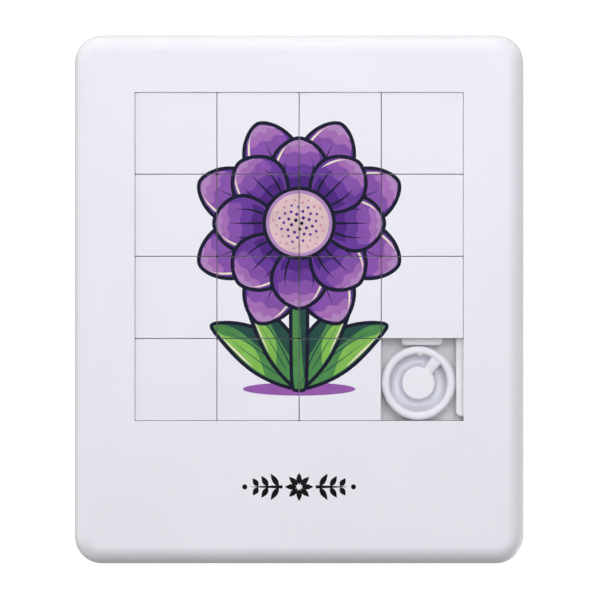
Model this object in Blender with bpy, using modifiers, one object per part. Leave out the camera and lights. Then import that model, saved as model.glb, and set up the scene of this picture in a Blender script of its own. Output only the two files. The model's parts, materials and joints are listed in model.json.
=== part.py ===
"""Pocket sliding tile puzzle: a moulded frame, a press-on back, fifteen tongued tiles and a lock plug.

The origin is the centre of the underside. +X is to the right, +Y is up the face and +Z comes out of it.
The field is four cells by four. Fifteen tiles fill it, and the lock plug fills the last cell, so that
nothing moves until the plug is lifted out. Each tile has a tongue on its left and bottom edges and a
groove along its top and right edges. The frame answers with rails on its top and right walls and grooves
in its bottom and left walls, so every tile is held down wherever it slides.
"""

import math

import bmesh
import bpy
from mathutils import Matrix, Vector

MM = 0.001

# Frame
FRAME_WIDTH = 68 * MM
FRAME_LENGTH = 80 * MM
FRAME_HEIGHT = 7.5 * MM
FRAME_CORNER = 4.2 * MM
FRAME_EDGE_ROUND = 2.6 * MM
SKIRT = 1.8 * MM
FACE = 1.8 * MM
FIELD_WALL = 2.4 * MM
RIB = 1.2 * MM
HOLLOW_COLUMNS = 2  # pockets across the top and bottom margins
HOLLOW_ROWS = 2  # pockets down the bottom margin, each narrower than a tenth of the length

# Field of cells
CELLS = 4
CELL = 12.4 * MM
FIELD = CELLS * CELL
FIELD_RISE = 6.45 * MM  # the field sits this far above the middle of the face

# Tongues and grooves, shared by the tiles and the frame
TONGUE_REACH = 1.1 * MM
TONGUE_LOW = 3.9 * MM
TONGUE_HIGH = 5.1 * MM
TONGUE_WIDTH = 6.3 * MM
TONGUE_CORNER = 0.6 * MM
GROOVE_DEPTH = 1.3 * MM
GROOVE_PLAY = 0.2 * MM  # above and below a tongue
RAIL_END_GAP = 0.6 * MM
RAIL_CORNER = 0.85 * MM
ROOT = 1.0 * MM  # how far a rail or a tongue runs into what it stands on

# Back cover
COVER = 1.5 * MM
COVER_GAP = 0.2 * MM
COVER_SEAT_GAP = 0.1 * MM
PEG_RADIUS = 1.2 * MM
PEG_TOP = 4.8 * MM
PEG_GAP = 0.1 * MM
PEG_BLOCK = 5.0 * MM  # length of frame left solid round a peg
PRY_NOTCH = (8.0 * MM, 0.9 * MM, 0.8 * MM)

# Tile
TILE_GAP = 0.1 * MM
TILE_BOTTOM = 1.8 * MM
TILE_TOP = 7.3 * MM
TILE_CORNER = 0.35 * MM
TILE_EDGE_ROUND = 0.3 * MM
CORE = 7.6 * MM
CORE_SHIFT = -0.4 * MM  # towards the tongues, away from the grooves
CORE_TOP = 5.0 * MM

# Lock plug: it fills the free cell from the next tile to the rail and from the tongue above to the wall
PLUG_GAP = 0.09 * MM
PLUG_RADIUS = (CELL + TILE_GAP / 2 - TONGUE_REACH) / 2 - PLUG_GAP
PLUG_BOTTOM = 1.8 * MM
PLUG_TOP = 7.0 * MM
PLUG_DRAFT = math.radians(13)
RIM_WIDTH = 1.3 * MM
RIM_ROUND = 0.35 * MM
BOSS_RADIUS = 2.55 * MM
BOSS_TOP = 6.9 * MM
BOSS_ROUND = 0.3 * MM
BOSS_FOOT = 0.4 * MM
TROUGH_BOTTOM = 4.6 * MM
PLUG_CORE_RADIUS = 3.2 * MM
PLUG_CORE_TOP = 2.8 * MM
SPOKE_WIDTH = 1.6 * MM
SPOKE_ANGLE = math.radians(51.6)
PLUG_STEPS = 32

OVERSHOOT = 1.0 * MM  # how far a cutter runs past an open face
MERGE = 0.00005

MATERIALS = {
    "frame_plastic": ((0.80, 0.80, 0.87), 0.38),
    "cover_plastic": ((0.76, 0.76, 0.82), 0.45),
    "tile_plastic": ((0.83, 0.83, 0.90), 0.32),
    "plug_plastic": ((0.80, 0.80, 0.87), 0.30),
}


def clear_scene():
    """Removes every object that the file opened with."""
    for obj in list(bpy.data.objects):
        bpy.data.objects.remove(obj)


def new_collection(name):
    """Makes a collection and links it to the scene."""
    collection = bpy.data.collections.new(name)
    bpy.context.scene.collection.children.link(collection)
    return collection


def plastic(name):
    """Makes one of the moulded plastics from its colour and roughness."""
    colour, roughness = MATERIALS[name]
    material = bpy.data.materials.new(name)
    material.use_nodes = True
    shader = material.node_tree.nodes["Principled BSDF"]
    shader.inputs["Base Color"].default_value = (*colour, 1.0)
    shader.inputs["Roughness"].default_value = roughness
    shader.inputs["Metallic"].default_value = 0.0
    return material


def add_mesh(name, mesh, collection):
    """Puts a mesh in the collection as a named object."""
    obj = bpy.data.objects.new(name, mesh)
    collection.objects.link(obj)
    return obj


def add_bmesh(name, bm, collection):
    """Turns a bmesh into a named object and frees it."""
    mesh = bpy.data.meshes.new(name)
    bm.to_mesh(mesh)
    bm.free()
    return add_mesh(name, mesh, collection)


def box_into(bm, low, high):
    """Adds a box between two corners to the bmesh and returns its vertices."""
    low, high = Vector(low), Vector(high)
    place = Matrix.Translation((low + high) / 2) @ Matrix.Diagonal((*(high - low), 1))
    return bmesh.ops.create_cube(bm, size=1, matrix=place)["verts"]


def round_edges(bm, chosen, radius, steps):
    """Rounds the edges for which chosen(edge) is true."""
    edges = [edge for edge in bm.edges if chosen(edge)]
    bmesh.ops.bevel(
        bm,
        geom=edges,
        offset=radius,
        segments=steps,
        profile=0.5,
        affect="EDGES",
        clamp_overlap=False,
    )


def is_upright(edge):
    """True for an edge that runs along Z."""
    start, end = (vertex.co for vertex in edge.verts)
    return abs(start.z - end.z) > MERGE and (start.xy - end.xy).length < MERGE


def rounded_box(name, low, high, corner, steps, collection, top_round=0.0, top_steps=1):
    """A box whose upright edges, and then its top edges, are rounded."""
    bm = bmesh.new()
    box_into(bm, low, high)
    round_edges(bm, is_upright, corner, steps)
    if top_round:
        top = high[2] - MERGE
        round_edges(bm, lambda edge: all(v.co.z > top for v in edge.verts), top_round, top_steps)
    return add_bmesh(name, bm, collection)


def boxes(name, corners, collection):
    """Several separate boxes in one object, from (low, high) pairs."""
    bm = bmesh.new()
    for low, high in corners:
        box_into(bm, low, high)
    return add_bmesh(name, bm, collection)


def posts(name, places, radius, low, high, collection):
    """Upright cylinders of one size in one object, at (x, y) places."""
    bm = bmesh.new()
    for x, y in places:
        bmesh.ops.create_cone(
            bm,
            cap_ends=True,
            segments=12,
            radius1=radius,
            radius2=radius,
            depth=high - low,
            matrix=Matrix.Translation((x, y, (low + high) / 2)),
        )
    return add_bmesh(name, bm, collection)


def combine(obj, other, operation):
    """Adds a Boolean modifier that cuts the other object away or joins it on, and hides it."""
    other.hide_render = True
    other.display_type = "WIRE"
    modifier = obj.modifiers.new(f"{operation.lower()}_{other.name}", "BOOLEAN")
    modifier.operation = operation
    modifier.solver = "EXACT"
    modifier.object = other


def apply_modifiers(obj, name):
    """Returns the object's evaluated mesh under a new name."""
    graph = bpy.context.evaluated_depsgraph_get()
    mesh = bpy.data.meshes.new_from_object(obj.evaluated_get(graph))
    mesh.name = name
    return mesh


def shade_round(mesh):
    """Smooth shading, with the hard corners kept."""
    mesh.shade_smooth()
    mesh.set_sharp_from_angle(angle=math.radians(35))


def cell_centre(column, row):
    """(x, y) of a cell's middle, counting columns from the left and rows from the top."""
    x = (column - (CELLS - 1) / 2) * CELL
    y = FIELD_RISE - (row - (CELLS - 1) / 2) * CELL
    return x, y


def split(low, high, count):
    """Divides a span into equal stretches with a rib between neighbours."""
    step = (high - low + RIB) / count
    return [(low + i * step, low + (i + 1) * step - RIB) for i in range(count)]


def peg_places():
    """(x, y) of the six pegs: one in each corner of the frame and one beside the field on each side."""
    x = FIELD / 2 + FIELD_WALL + (FRAME_WIDTH / 2 - SKIRT - FIELD / 2 - FIELD_WALL) / 2
    corner_y = FRAME_LENGTH / 2 - SKIRT - PEG_BLOCK / 2
    return [(side * x, y) for side in (-1, 1) for y in (-corner_y, FIELD_RISE, corner_y)]


def hollows():
    """(low, high) corners of the pockets that core out the frame from behind, with ribs between them."""
    inner_x = FRAME_WIDTH / 2 - SKIRT
    inner_y = FRAME_LENGTH / 2 - SKIRT
    wall_x = FIELD / 2 + FIELD_WALL
    wall_top = FIELD_RISE + FIELD / 2 + FIELD_WALL
    wall_bottom = FIELD_RISE - FIELD / 2 - FIELD_WALL
    block = PEG_BLOCK / 2
    across = []
    for low, high in (
        (-inner_y + PEG_BLOCK, FIELD_RISE - block),
        (FIELD_RISE + block, inner_y - PEG_BLOCK),
    ):
        across.append((-inner_x, -wall_x, low, high))
        across.append((wall_x, inner_x, low, high))
    middle = wall_x - RIB
    for low_x, high_x in split(-middle, middle, HOLLOW_COLUMNS):
        across.append((low_x, high_x, wall_top, inner_y))
        for low_y, high_y in split(-inner_y, wall_bottom, HOLLOW_ROWS):
            across.append((low_x, high_x, low_y, high_y))
    ceiling = FRAME_HEIGHT - FACE
    return [((x0, y0, 0), (x1, y1, ceiling)) for x0, x1, y0, y1 in across]


def build_front_frame(parts, helpers, material):
    """The one-piece front: rounded face, outer skirt, field wall, ribs, rails and grooves."""
    half_x, half_y, half_field = FRAME_WIDTH / 2, FRAME_LENGTH / 2, FIELD / 2
    frame = rounded_box(
        "front_frame",
        (-half_x, -half_y, 0),
        (half_x, half_y, FRAME_HEIGHT),
        FRAME_CORNER,
        6,
        parts,
        FRAME_EDGE_ROUND,
        4,
    )
    recess = rounded_box(
        "cover_recess",
        (-half_x + SKIRT, -half_y + SKIRT, -OVERSHOOT),
        (half_x - SKIRT, half_y - SKIRT, COVER + COVER_SEAT_GAP),
        FRAME_CORNER - SKIRT,
        4,
        helpers,
    )
    window = boxes(
        "field_window",
        [
            (
                (-half_field, FIELD_RISE - half_field, -OVERSHOOT),
                (half_field, FIELD_RISE + half_field, FRAME_HEIGHT + OVERSHOOT),
            )
        ],
        helpers,
    )
    groove_plate = boxes(
        "wall_grooves",
        [
            (
                (
                    -half_field - GROOVE_DEPTH,
                    FIELD_RISE - half_field - GROOVE_DEPTH,
                    TONGUE_LOW - GROOVE_PLAY,
                ),
                (
                    half_field - RAIL_END_GAP,
                    FIELD_RISE + half_field - RAIL_END_GAP,
                    TONGUE_HIGH + GROOVE_PLAY,
                ),
            )
        ],
        helpers,
    )
    sockets = posts(
        "peg_sockets", peg_places(), PEG_RADIUS + PEG_GAP, 0, PEG_TOP + COVER_GAP, helpers
    )
    right_rail = rounded_box(
        "right_rail",
        (half_field - TONGUE_REACH, FIELD_RISE - half_field + RAIL_END_GAP, TONGUE_LOW),
        (half_field + ROOT, FIELD_RISE + half_field + ROOT, TONGUE_HIGH),
        RAIL_CORNER,
        3,
        helpers,
    )
    top_rail = rounded_box(
        "top_rail",
        (-half_field + RAIL_END_GAP, FIELD_RISE + half_field - TONGUE_REACH, TONGUE_LOW),
        (half_field + ROOT / 2, FIELD_RISE + half_field + ROOT, TONGUE_HIGH),
        RAIL_CORNER,
        3,
        helpers,
    )
    for cutter in (recess, boxes("hollows", hollows(), helpers), window, groove_plate, sockets):
        combine(frame, cutter, "DIFFERENCE")
    for rail in (right_rail, top_rail):
        combine(frame, rail, "UNION")
    frame.data.materials.append(material)
    shade_round(frame.data)


def build_back_cover(parts, helpers, material):
    """The plate that closes the frame and carries the tiles, with pegs that press into the frame."""
    half_x = FRAME_WIDTH / 2 - SKIRT - COVER_GAP
    half_y = FRAME_LENGTH / 2 - SKIRT - COVER_GAP
    cover = rounded_box(
        "back_cover",
        (-half_x, -half_y, 0),
        (half_x, half_y, COVER),
        FRAME_CORNER - SKIRT - COVER_GAP,
        4,
        parts,
    )
    pegs = posts("cover_pegs", peg_places(), PEG_RADIUS, COVER / 2, PEG_TOP, helpers)
    width, depth, height = PRY_NOTCH
    notch = boxes(
        "pry_notch",
        [((-width / 2, -half_y - OVERSHOOT, -OVERSHOOT), (width / 2, -half_y + depth, height))],
        helpers,
    )
    combine(cover, pegs, "UNION")
    combine(cover, notch, "DIFFERENCE")
    cover.data.materials.append(material)
    shade_round(cover.data)


def tile_mesh(helpers, material):
    """The mesh that every tile shares: its middle at the origin in X and Y, its underside at Z = 0."""
    half = (CELL - TILE_GAP) / 2
    height = TILE_TOP - TILE_BOTTOM
    tongue_low, tongue_high = TONGUE_LOW - TILE_BOTTOM, TONGUE_HIGH - TILE_BOTTOM
    groove_low, groove_high = tongue_low - GROOVE_PLAY, tongue_high + GROOVE_PLAY
    tip = half + TONGUE_REACH
    root = half - ROOT
    side = TONGUE_WIDTH / 2
    floor = half - GROOVE_DEPTH
    past = half + OVERSHOOT
    blank = rounded_box(
        "tile_blank",
        (-half, -half, 0),
        (half, half, height),
        TILE_CORNER,
        1,
        helpers,
        TILE_EDGE_ROUND,
        2,
    )
    blank.hide_render = True
    right_groove = boxes(
        "tile_right_groove", [((floor, -past, groove_low), (past, past, groove_high))], helpers
    )
    top_groove = boxes(
        "tile_top_groove", [((-past, floor, groove_low), (past, past, groove_high))], helpers
    )
    core_low, core_high = CORE_SHIFT - CORE / 2, CORE_SHIFT + CORE / 2
    core = boxes(
        "tile_core",
        [((core_low, core_low, -OVERSHOOT), (core_high, core_high, CORE_TOP - TILE_BOTTOM))],
        helpers,
    )
    left_tongue = rounded_box(
        "tile_left_tongue",
        (-tip, -side, tongue_low),
        (-root, side, tongue_high),
        TONGUE_CORNER,
        2,
        helpers,
    )
    bottom_tongue = rounded_box(
        "tile_bottom_tongue",
        (-side, -tip, tongue_low),
        (side, -root, tongue_high),
        TONGUE_CORNER,
        2,
        helpers,
    )
    for cutter in (right_groove, top_groove, core):
        combine(blank, cutter, "DIFFERENCE")
    for tongue in (left_tongue, bottom_tongue):
        combine(blank, tongue, "UNION")
    mesh = apply_modifiers(blank, "tile")
    mesh.materials.append(material)
    shade_round(mesh)
    for helper in (right_groove, top_groove, core, left_tongue, bottom_tongue, blank):
        bpy.data.objects.remove(helper)
    return mesh


def build_tiles(parts, helpers, material):
    """Fifteen tiles in reading order, each its own object; the last cell stays free for the plug."""
    mesh = tile_mesh(helpers, material)
    for index in range(CELLS * CELLS - 1):
        row, column = divmod(index, CELLS)
        tile = add_mesh(f"tile_{index + 1:02d}", mesh, parts)
        tile.location = (*cell_centre(column, row), TILE_BOTTOM)


def arc(centre, radii, start, end, steps):
    """Points of an elliptical arc in the (r, z) plane, with the angles in degrees."""
    angles = [math.radians(start + (end - start) * i / steps) for i in range(steps + 1)]
    return [
        (centre[0] + radii[0] * math.cos(a), centre[1] + radii[1] * math.sin(a)) for a in angles
    ]


def plug_profile():
    """(r, z) points of the plug: from the boss on the axis, over the rim, down and in under the core."""
    shoulder = PLUG_TOP - RIM_ROUND
    foot = BOSS_RADIUS + BOSS_FOOT
    rim_inner = PLUG_RADIUS - RIM_WIDTH
    bottom_radius = PLUG_RADIUS - (shoulder - PLUG_BOTTOM) * math.tan(PLUG_DRAFT)
    boss_round = (BOSS_ROUND, BOSS_ROUND)
    rim_round = (RIM_ROUND, RIM_ROUND)
    points = [(0.0, BOSS_TOP)]
    points += arc((BOSS_RADIUS - BOSS_ROUND, BOSS_TOP - BOSS_ROUND), boss_round, 90, 0, 2)
    points += arc((foot, shoulder), (rim_inner - foot, shoulder - TROUGH_BOTTOM), 270, 350, 4)
    points += arc((rim_inner + RIM_ROUND, shoulder), rim_round, 180, 90, 2)
    points += arc((PLUG_RADIUS - RIM_ROUND, shoulder), rim_round, 90, 0, 3)
    points += [(bottom_radius, PLUG_BOTTOM)]
    points += [(PLUG_CORE_RADIUS, PLUG_BOTTOM), (PLUG_CORE_RADIUS, PLUG_CORE_TOP)]
    points += [(0.0, PLUG_CORE_TOP)]
    return points


def build_lock_plug(parts, helpers, material):
    """The round plug that fills the free cell: a rimmed ring, a boss and one spoke between them."""
    corner_x = FIELD / 2 - TONGUE_REACH
    corner_y = FIELD_RISE - FIELD / 2
    x = corner_x - PLUG_GAP - PLUG_RADIUS
    y = corner_y + PLUG_GAP + PLUG_RADIUS
    bm = bmesh.new()
    profile = [bm.verts.new((r, 0, z)) for r, z in plug_profile()]
    for start, end in zip(profile, profile[1:]):
        bm.edges.new((start, end))
    plug = add_bmesh("lock_plug", bm, parts)
    plug.location = (x, y, 0)
    screw = plug.modifiers.new("turned", "SCREW")
    screw.axis = "Z"
    screw.steps = PLUG_STEPS
    screw.render_steps = PLUG_STEPS
    screw.use_merge_vertices = True
    screw.merge_threshold = MERGE
    screw.use_smooth_shade = True
    spoke_end = PLUG_RADIUS - RIM_WIDTH / 2
    spoke_floor = (PLUG_CORE_TOP + TROUGH_BOTTOM) / 2
    spoke = boxes(
        "plug_spoke",
        [
            (
                (BOSS_RADIUS / 2, -SPOKE_WIDTH / 2, spoke_floor),
                (spoke_end, SPOKE_WIDTH / 2, BOSS_TOP - BOSS_ROUND / 2),
            )
        ],
        helpers,
    )
    spoke.location = plug.location
    spoke.rotation_euler = (0, 0, SPOKE_ANGLE)
    combine(plug, spoke, "UNION")
    plug.data.materials.append(material)


def main():
    """Builds the puzzle at rest."""
    clear_scene()
    parts = new_collection("sliding_tile_puzzle")
    helpers = new_collection("cutters")
    build_front_frame(parts, helpers, plastic("frame_plastic"))
    build_back_cover(parts, helpers, plastic("cover_plastic"))
    build_tiles(parts, helpers, plastic("tile_plastic"))
    build_lock_plug(parts, helpers, plastic("plug_plastic"))


main()
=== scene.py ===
"""Finished look of a pocket sliding tile puzzle: two moulded shells, fifteen tiles and a lock plug.

Sizes are in metres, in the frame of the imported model: X to the right, Y up the face and Z out of it.
Each sub-assembly is a class that holds its sizes as fields. It builds its meshes, dresses them in a
finish and sets them on the bodies that carry them. The printed picture is drawn as flat shapes in
millimetres from the middle of the tile field, and is then laid over the tiles as thin films of ink.
"""

import json
import logging
import math
from collections.abc import Callable, Iterable
from dataclasses import dataclass, field
from enum import Enum

import bmesh
import bpy
import numpy as np
from mathutils import Matrix, Vector, geometry

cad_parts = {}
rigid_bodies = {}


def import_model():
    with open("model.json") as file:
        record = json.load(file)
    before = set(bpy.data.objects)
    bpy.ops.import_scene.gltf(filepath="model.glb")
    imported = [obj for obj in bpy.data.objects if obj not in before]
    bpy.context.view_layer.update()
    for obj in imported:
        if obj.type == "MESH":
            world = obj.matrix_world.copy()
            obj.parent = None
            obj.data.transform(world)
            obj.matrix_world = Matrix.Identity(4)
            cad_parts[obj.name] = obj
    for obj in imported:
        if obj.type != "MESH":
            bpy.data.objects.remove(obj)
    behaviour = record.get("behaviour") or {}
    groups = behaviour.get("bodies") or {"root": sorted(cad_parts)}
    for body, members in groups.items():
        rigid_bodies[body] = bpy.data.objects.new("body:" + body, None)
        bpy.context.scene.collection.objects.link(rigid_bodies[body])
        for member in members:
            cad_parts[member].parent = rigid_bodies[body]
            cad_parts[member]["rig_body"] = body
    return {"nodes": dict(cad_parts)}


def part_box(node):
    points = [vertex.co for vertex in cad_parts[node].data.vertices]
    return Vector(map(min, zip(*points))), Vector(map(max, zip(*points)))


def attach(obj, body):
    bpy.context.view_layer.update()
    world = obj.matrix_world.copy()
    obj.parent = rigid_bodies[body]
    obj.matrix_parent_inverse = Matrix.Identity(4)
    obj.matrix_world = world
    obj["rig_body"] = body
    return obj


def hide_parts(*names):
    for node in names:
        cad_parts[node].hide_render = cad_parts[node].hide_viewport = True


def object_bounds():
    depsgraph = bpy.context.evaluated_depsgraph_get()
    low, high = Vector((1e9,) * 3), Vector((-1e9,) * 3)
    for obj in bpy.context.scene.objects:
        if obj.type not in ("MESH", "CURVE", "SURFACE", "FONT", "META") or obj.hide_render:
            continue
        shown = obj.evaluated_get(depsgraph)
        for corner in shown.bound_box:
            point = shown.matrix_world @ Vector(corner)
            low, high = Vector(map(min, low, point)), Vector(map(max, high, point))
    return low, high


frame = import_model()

CAD_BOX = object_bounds()
MM = 0.001
SHARP_ANGLE = math.radians(38)
LOG = logging.getLogger("sliding_tile_puzzle")

Point = tuple[float, float]
Ring = list[Vector]
Outline = list[Point]
Colour = tuple[float, float, float]


class Slot(Enum):
    """The record's material slots."""

    FRAME = "frame_plastic"
    COVER = "cover_plastic"
    TILE = "tile_plastic"
    PLUG = "plug_plastic"


# Mesh building


def rounded_ring(centre: Point, half: Point, corner: float, height: float, steps: int) -> Ring:
    """Walks anticlockwise round a rectangle with rounded corners.

    Args:
        centre: Middle of the rectangle in X and Y.
        half: Half of its size in X and Y.
        corner: Radius of its corners.
        height: Z of every point.
        steps: Segments in each corner.

    Returns:
        The ring's points, steps + 1 for each corner.
    """
    ring = []
    for quarter, (side_x, side_y) in enumerate(((1, 1), (-1, 1), (-1, -1), (1, -1))):
        middle_x = centre[0] + side_x * (half[0] - corner)
        middle_y = centre[1] + side_y * (half[1] - corner)
        for step in range(steps + 1):
            angle = math.pi / 2 * (quarter + step / steps)
            x = middle_x + corner * math.cos(angle)
            y = middle_y + corner * math.sin(angle)
            ring.append(Vector((x, y, height)))
    return ring


def circle_ring(centre: Point, radius: float, height: float, steps: int) -> Ring:
    """Walks anticlockwise round a circle and returns its points."""
    angles = [2 * math.pi * step / steps for step in range(steps)]
    return [
        Vector((centre[0] + radius * math.cos(a), centre[1] + radius * math.sin(a), height))
        for a in angles
    ]


def loft(name: str, rings: list[Ring], looped: bool = False) -> bpy.types.Object:
    """Skins a row of rings of equal length into one closed mesh.

    Args:
        name: Name of the new object.
        rings: The rings in order.
        looped: True joins the last ring to the first, and False caps both ends.

    Returns:
        The new object, linked to the scene.
    """
    bm = bmesh.new()
    rows = [[bm.verts.new(point) for point in ring] for ring in rings]
    pairs = list(zip(rows, rows[1:]))
    if looped:
        pairs.append((rows[-1], rows[0]))
    else:
        bm.faces.new(rows[0])
        bm.faces.new(rows[-1])
    count = len(rows[0])
    for lower, upper in pairs:
        for start in range(count):
            end = (start + 1) % count
            bm.faces.new((lower[start], lower[end], upper[end], upper[start]))
    bmesh.ops.recalc_face_normals(bm, faces=bm.faces)
    mesh = bpy.data.meshes.new(name)
    bm.to_mesh(mesh)
    bm.free()
    return add_object(name, mesh)


def add_object(name: str, mesh: bpy.types.Mesh) -> bpy.types.Object:
    """Links a mesh to the scene as a named object and returns it."""
    obj = bpy.data.objects.new(name, mesh)
    bpy.context.scene.collection.objects.link(obj)
    return obj


def rolled(radius: float, steps: int) -> list[Point]:
    """The (inset, drop) pairs of a quarter-round edge, from the flat face to the upright side."""
    angles = [math.pi / 2 * step / steps for step in range(steps + 1)]
    return [(radius * (1 - math.sin(a)), radius * (1 - math.cos(a))) for a in angles]


@dataclass(frozen=True)
class Block:
    """An upright block between two corners, with rounded corners in plan and rolled edges."""

    low: tuple[float, float, float]
    high: tuple[float, float, float]
    corner: float = 0.05 * MM
    top_roll: float = 0.0
    bottom_roll: float = 0.0
    corner_steps: int = 5
    roll_steps: int = 5

    def ring(self, inset: float, height: float) -> Ring:
        """The block's plan at one height, pulled in by the inset."""
        centre = ((self.low[0] + self.high[0]) / 2, (self.low[1] + self.high[1]) / 2)
        half = ((self.high[0] - self.low[0]) / 2 - inset, (self.high[1] - self.low[1]) / 2 - inset)
        corner = max(self.corner - inset, 0.01 * MM)
        return rounded_ring(centre, half, corner, height, self.corner_steps)

    def edge(self, roll: float, face: float, down: float) -> list[Ring]:
        """The rings of one rolled edge, from the flat face outwards.

        Args:
            roll: Radius of the edge, or 0 for a square one.
            face: Height of the flat face.
            down: 1 where the side lies below the face and -1 where it lies above.

        Returns:
            The rings in order.
        """
        if not roll:
            return [self.ring(0.0, face)]
        return [self.ring(inset, face - down * drop) for inset, drop in rolled(roll, self.roll_steps)]

    def build(self, name: str) -> bpy.types.Object:
        """Lofts the block and returns it as a new object."""
        bottom = self.edge(self.bottom_roll, self.low[2], -1)
        top = self.edge(self.top_roll, self.high[2], 1)
        return loft(name, bottom + top[::-1])


def turned(name: str, profile: list[Point], centre: Point, steps: int) -> bpy.types.Object:
    """Turns (radius, height) points about an upright axis, with a flat cap at each end.

    Args:
        name: Name of the new object.
        profile: Points from the top cap's edge to the bottom cap's edge.
        centre: Where the axis stands in X and Y.
        steps: Segments in the turn.

    Returns:
        The new object.
    """
    return loft(name, [circle_ring(centre, radius, height, steps) for radius, height in profile])


def post(centre: Point, radius: float, low: float, high: float, chamfer: float = 0.0) -> bpy.types.Object:
    """A round upright post, chamfered at its top if asked, as a new object."""
    profile = [(radius - chamfer, high), (radius, low)]
    if chamfer:
        profile.insert(1, (radius, high - chamfer))
    return turned("post", profile, centre, 40)


def work(body: bpy.types.Object, cut: Iterable[bpy.types.Object], join: Iterable[bpy.types.Object]) -> None:
    """Cuts some tools away from a body, then joins others on, and removes the tools.

    Args:
        body: The object that is worked on.
        cut: Closed tools to cut away.
        join: Closed tools to add afterwards.
    """
    tools = [(tool, "DIFFERENCE") for tool in cut] + [(tool, "UNION") for tool in join]
    for tool, operation in tools:
        modifier = body.modifiers.new(operation.lower(), "BOOLEAN")
        modifier.operation = operation
        modifier.solver = "EXACT"
        modifier.object = tool
    graph = bpy.context.evaluated_depsgraph_get()
    mesh = bpy.data.meshes.new_from_object(body.evaluated_get(graph))
    body.modifiers.clear()
    body.data = mesh
    for tool, _ in tools:
        bpy.data.objects.remove(tool)


def shade(obj: bpy.types.Object) -> None:
    """Shades rolled edges smooth, keeps creases crisp and flat faces flat."""
    obj.data.shade_smooth()
    obj.data.set_sharp_from_angle(angle=SHARP_ANGLE)
    normals = obj.modifiers.new("even_normals", "WEIGHTED_NORMAL")
    normals.keep_sharp = True


def dress(
    obj: bpy.types.Object, finish: "MouldedPlastic", body: str, stands_for: Iterable[str]
) -> None:
    """Gives a moulding its finish and hands it to the frame.

    Args:
        obj: The moulding.
        finish: What it is moulded in.
        body: The body that carries it.
        stands_for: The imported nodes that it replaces.
    """
    shade(obj)
    obj.data.materials.clear()
    obj.data.materials.append(finish.material())
    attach(obj, body)
    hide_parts(*stands_for)
    LOG.info("%s: %d faces, on %s", obj.name, len(obj.data.polygons), body)


# Shader effects and finishes


class Board:
    """A node tree that is being laid out."""

    def __init__(self, tree: bpy.types.NodeTree) -> None:
        """Starts on an empty tree."""
        self.tree = tree

    def add(self, kind: str, feeds: dict | None = None, **settings: object) -> bpy.types.Node:
        """Adds one node.

        Args:
            kind: Blender's name for the node type.
            feeds: For each input, by name or place, the socket or the constant that feeds it.
            settings: Attributes to set on the node first.

        Returns:
            The new node.
        """
        node = self.tree.nodes.new(kind)
        for name, value in settings.items():
            setattr(node, name, value)
        for key, value in (feeds or {}).items():
            if isinstance(value, bpy.types.NodeSocket):
                self.tree.links.new(value, node.inputs[key])
            else:
                node.inputs[key].default_value = value
        return node


@dataclass(frozen=True)
class Effect:
    """A shader node group that several finishes share."""

    name: str
    inputs: tuple[tuple[str, str], ...]
    outputs: tuple[tuple[str, str], ...]
    lay_out: Callable[[Board, bpy.types.NodeSocket], dict[str, bpy.types.NodeSocket]]

    def group(self) -> bpy.types.NodeTree:
        """Builds the group the first time, and returns it."""
        known = bpy.data.node_groups.get(self.name)
        if known:
            return known
        tree = bpy.data.node_groups.new(self.name, "ShaderNodeTree")
        for direction, sockets in (("INPUT", self.inputs), ("OUTPUT", self.outputs)):
            for name, kind in sockets:
                tree.interface.new_socket(name=name, in_out=direction, socket_type=kind)
        board = Board(tree)
        source = board.add("NodeGroupInput")
        results = self.lay_out(board, source.outputs)
        board.add("NodeGroupOutput", dict(results))
        return tree

    def place(self, board: Board, feeds: dict) -> bpy.types.Node:
        """Places the group in a material with its own values."""
        return board.add("ShaderNodeGroup", feeds, node_tree=self.group())


VECTOR = "NodeSocketVector"
FLOAT = "NodeSocketFloat"
COLOUR = "NodeSocketColor"


def lay_moulded_grain(board: Board, given: bpy.types.NodeSocket) -> dict:
    """Spark-eroded tool texture: fine pits on a slow, shallow ripple."""
    fine = board.add(
        "ShaderNodeTexNoise",
        {"Vector": given["Position"], "Scale": given["Scale"], "Detail": 3.0, "Roughness": 0.6},
    )
    slow_scale = board.add("ShaderNodeMath", {0: given["Scale"], 1: 0.05}, operation="MULTIPLY")
    slow = board.add("ShaderNodeTexNoise", {"Vector": given["Position"], "Scale": slow_scale.outputs[0]})
    ripple = board.add("ShaderNodeMath", {0: slow.outputs[0], 1: given["Ripple"]}, operation="MULTIPLY")
    height = board.add("ShaderNodeMath", {0: fine.outputs[0], 1: ripple.outputs[0]}, operation="ADD")
    return {"Height": height.outputs[0]}


def lay_tone_drift(board: Board, given: bpy.types.NodeSocket) -> dict:
    """Slow change between two tones of one colour, with faint specks."""
    cloud = board.add(
        "ShaderNodeTexNoise", {"Vector": given["Position"], "Scale": given["Scale"], "Detail": 4.0}
    )
    spread = board.add(
        "ShaderNodeMapRange", {"Value": cloud.outputs[0], "From Min": 0.32, "From Max": 0.68}
    )
    tone = board.add(
        "ShaderNodeMix",
        {0: spread.outputs[0], 6: given["Light"], 7: given["Dark"]},
        data_type="RGBA",
    )
    return {"Color": tone.outputs[2]}


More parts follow.
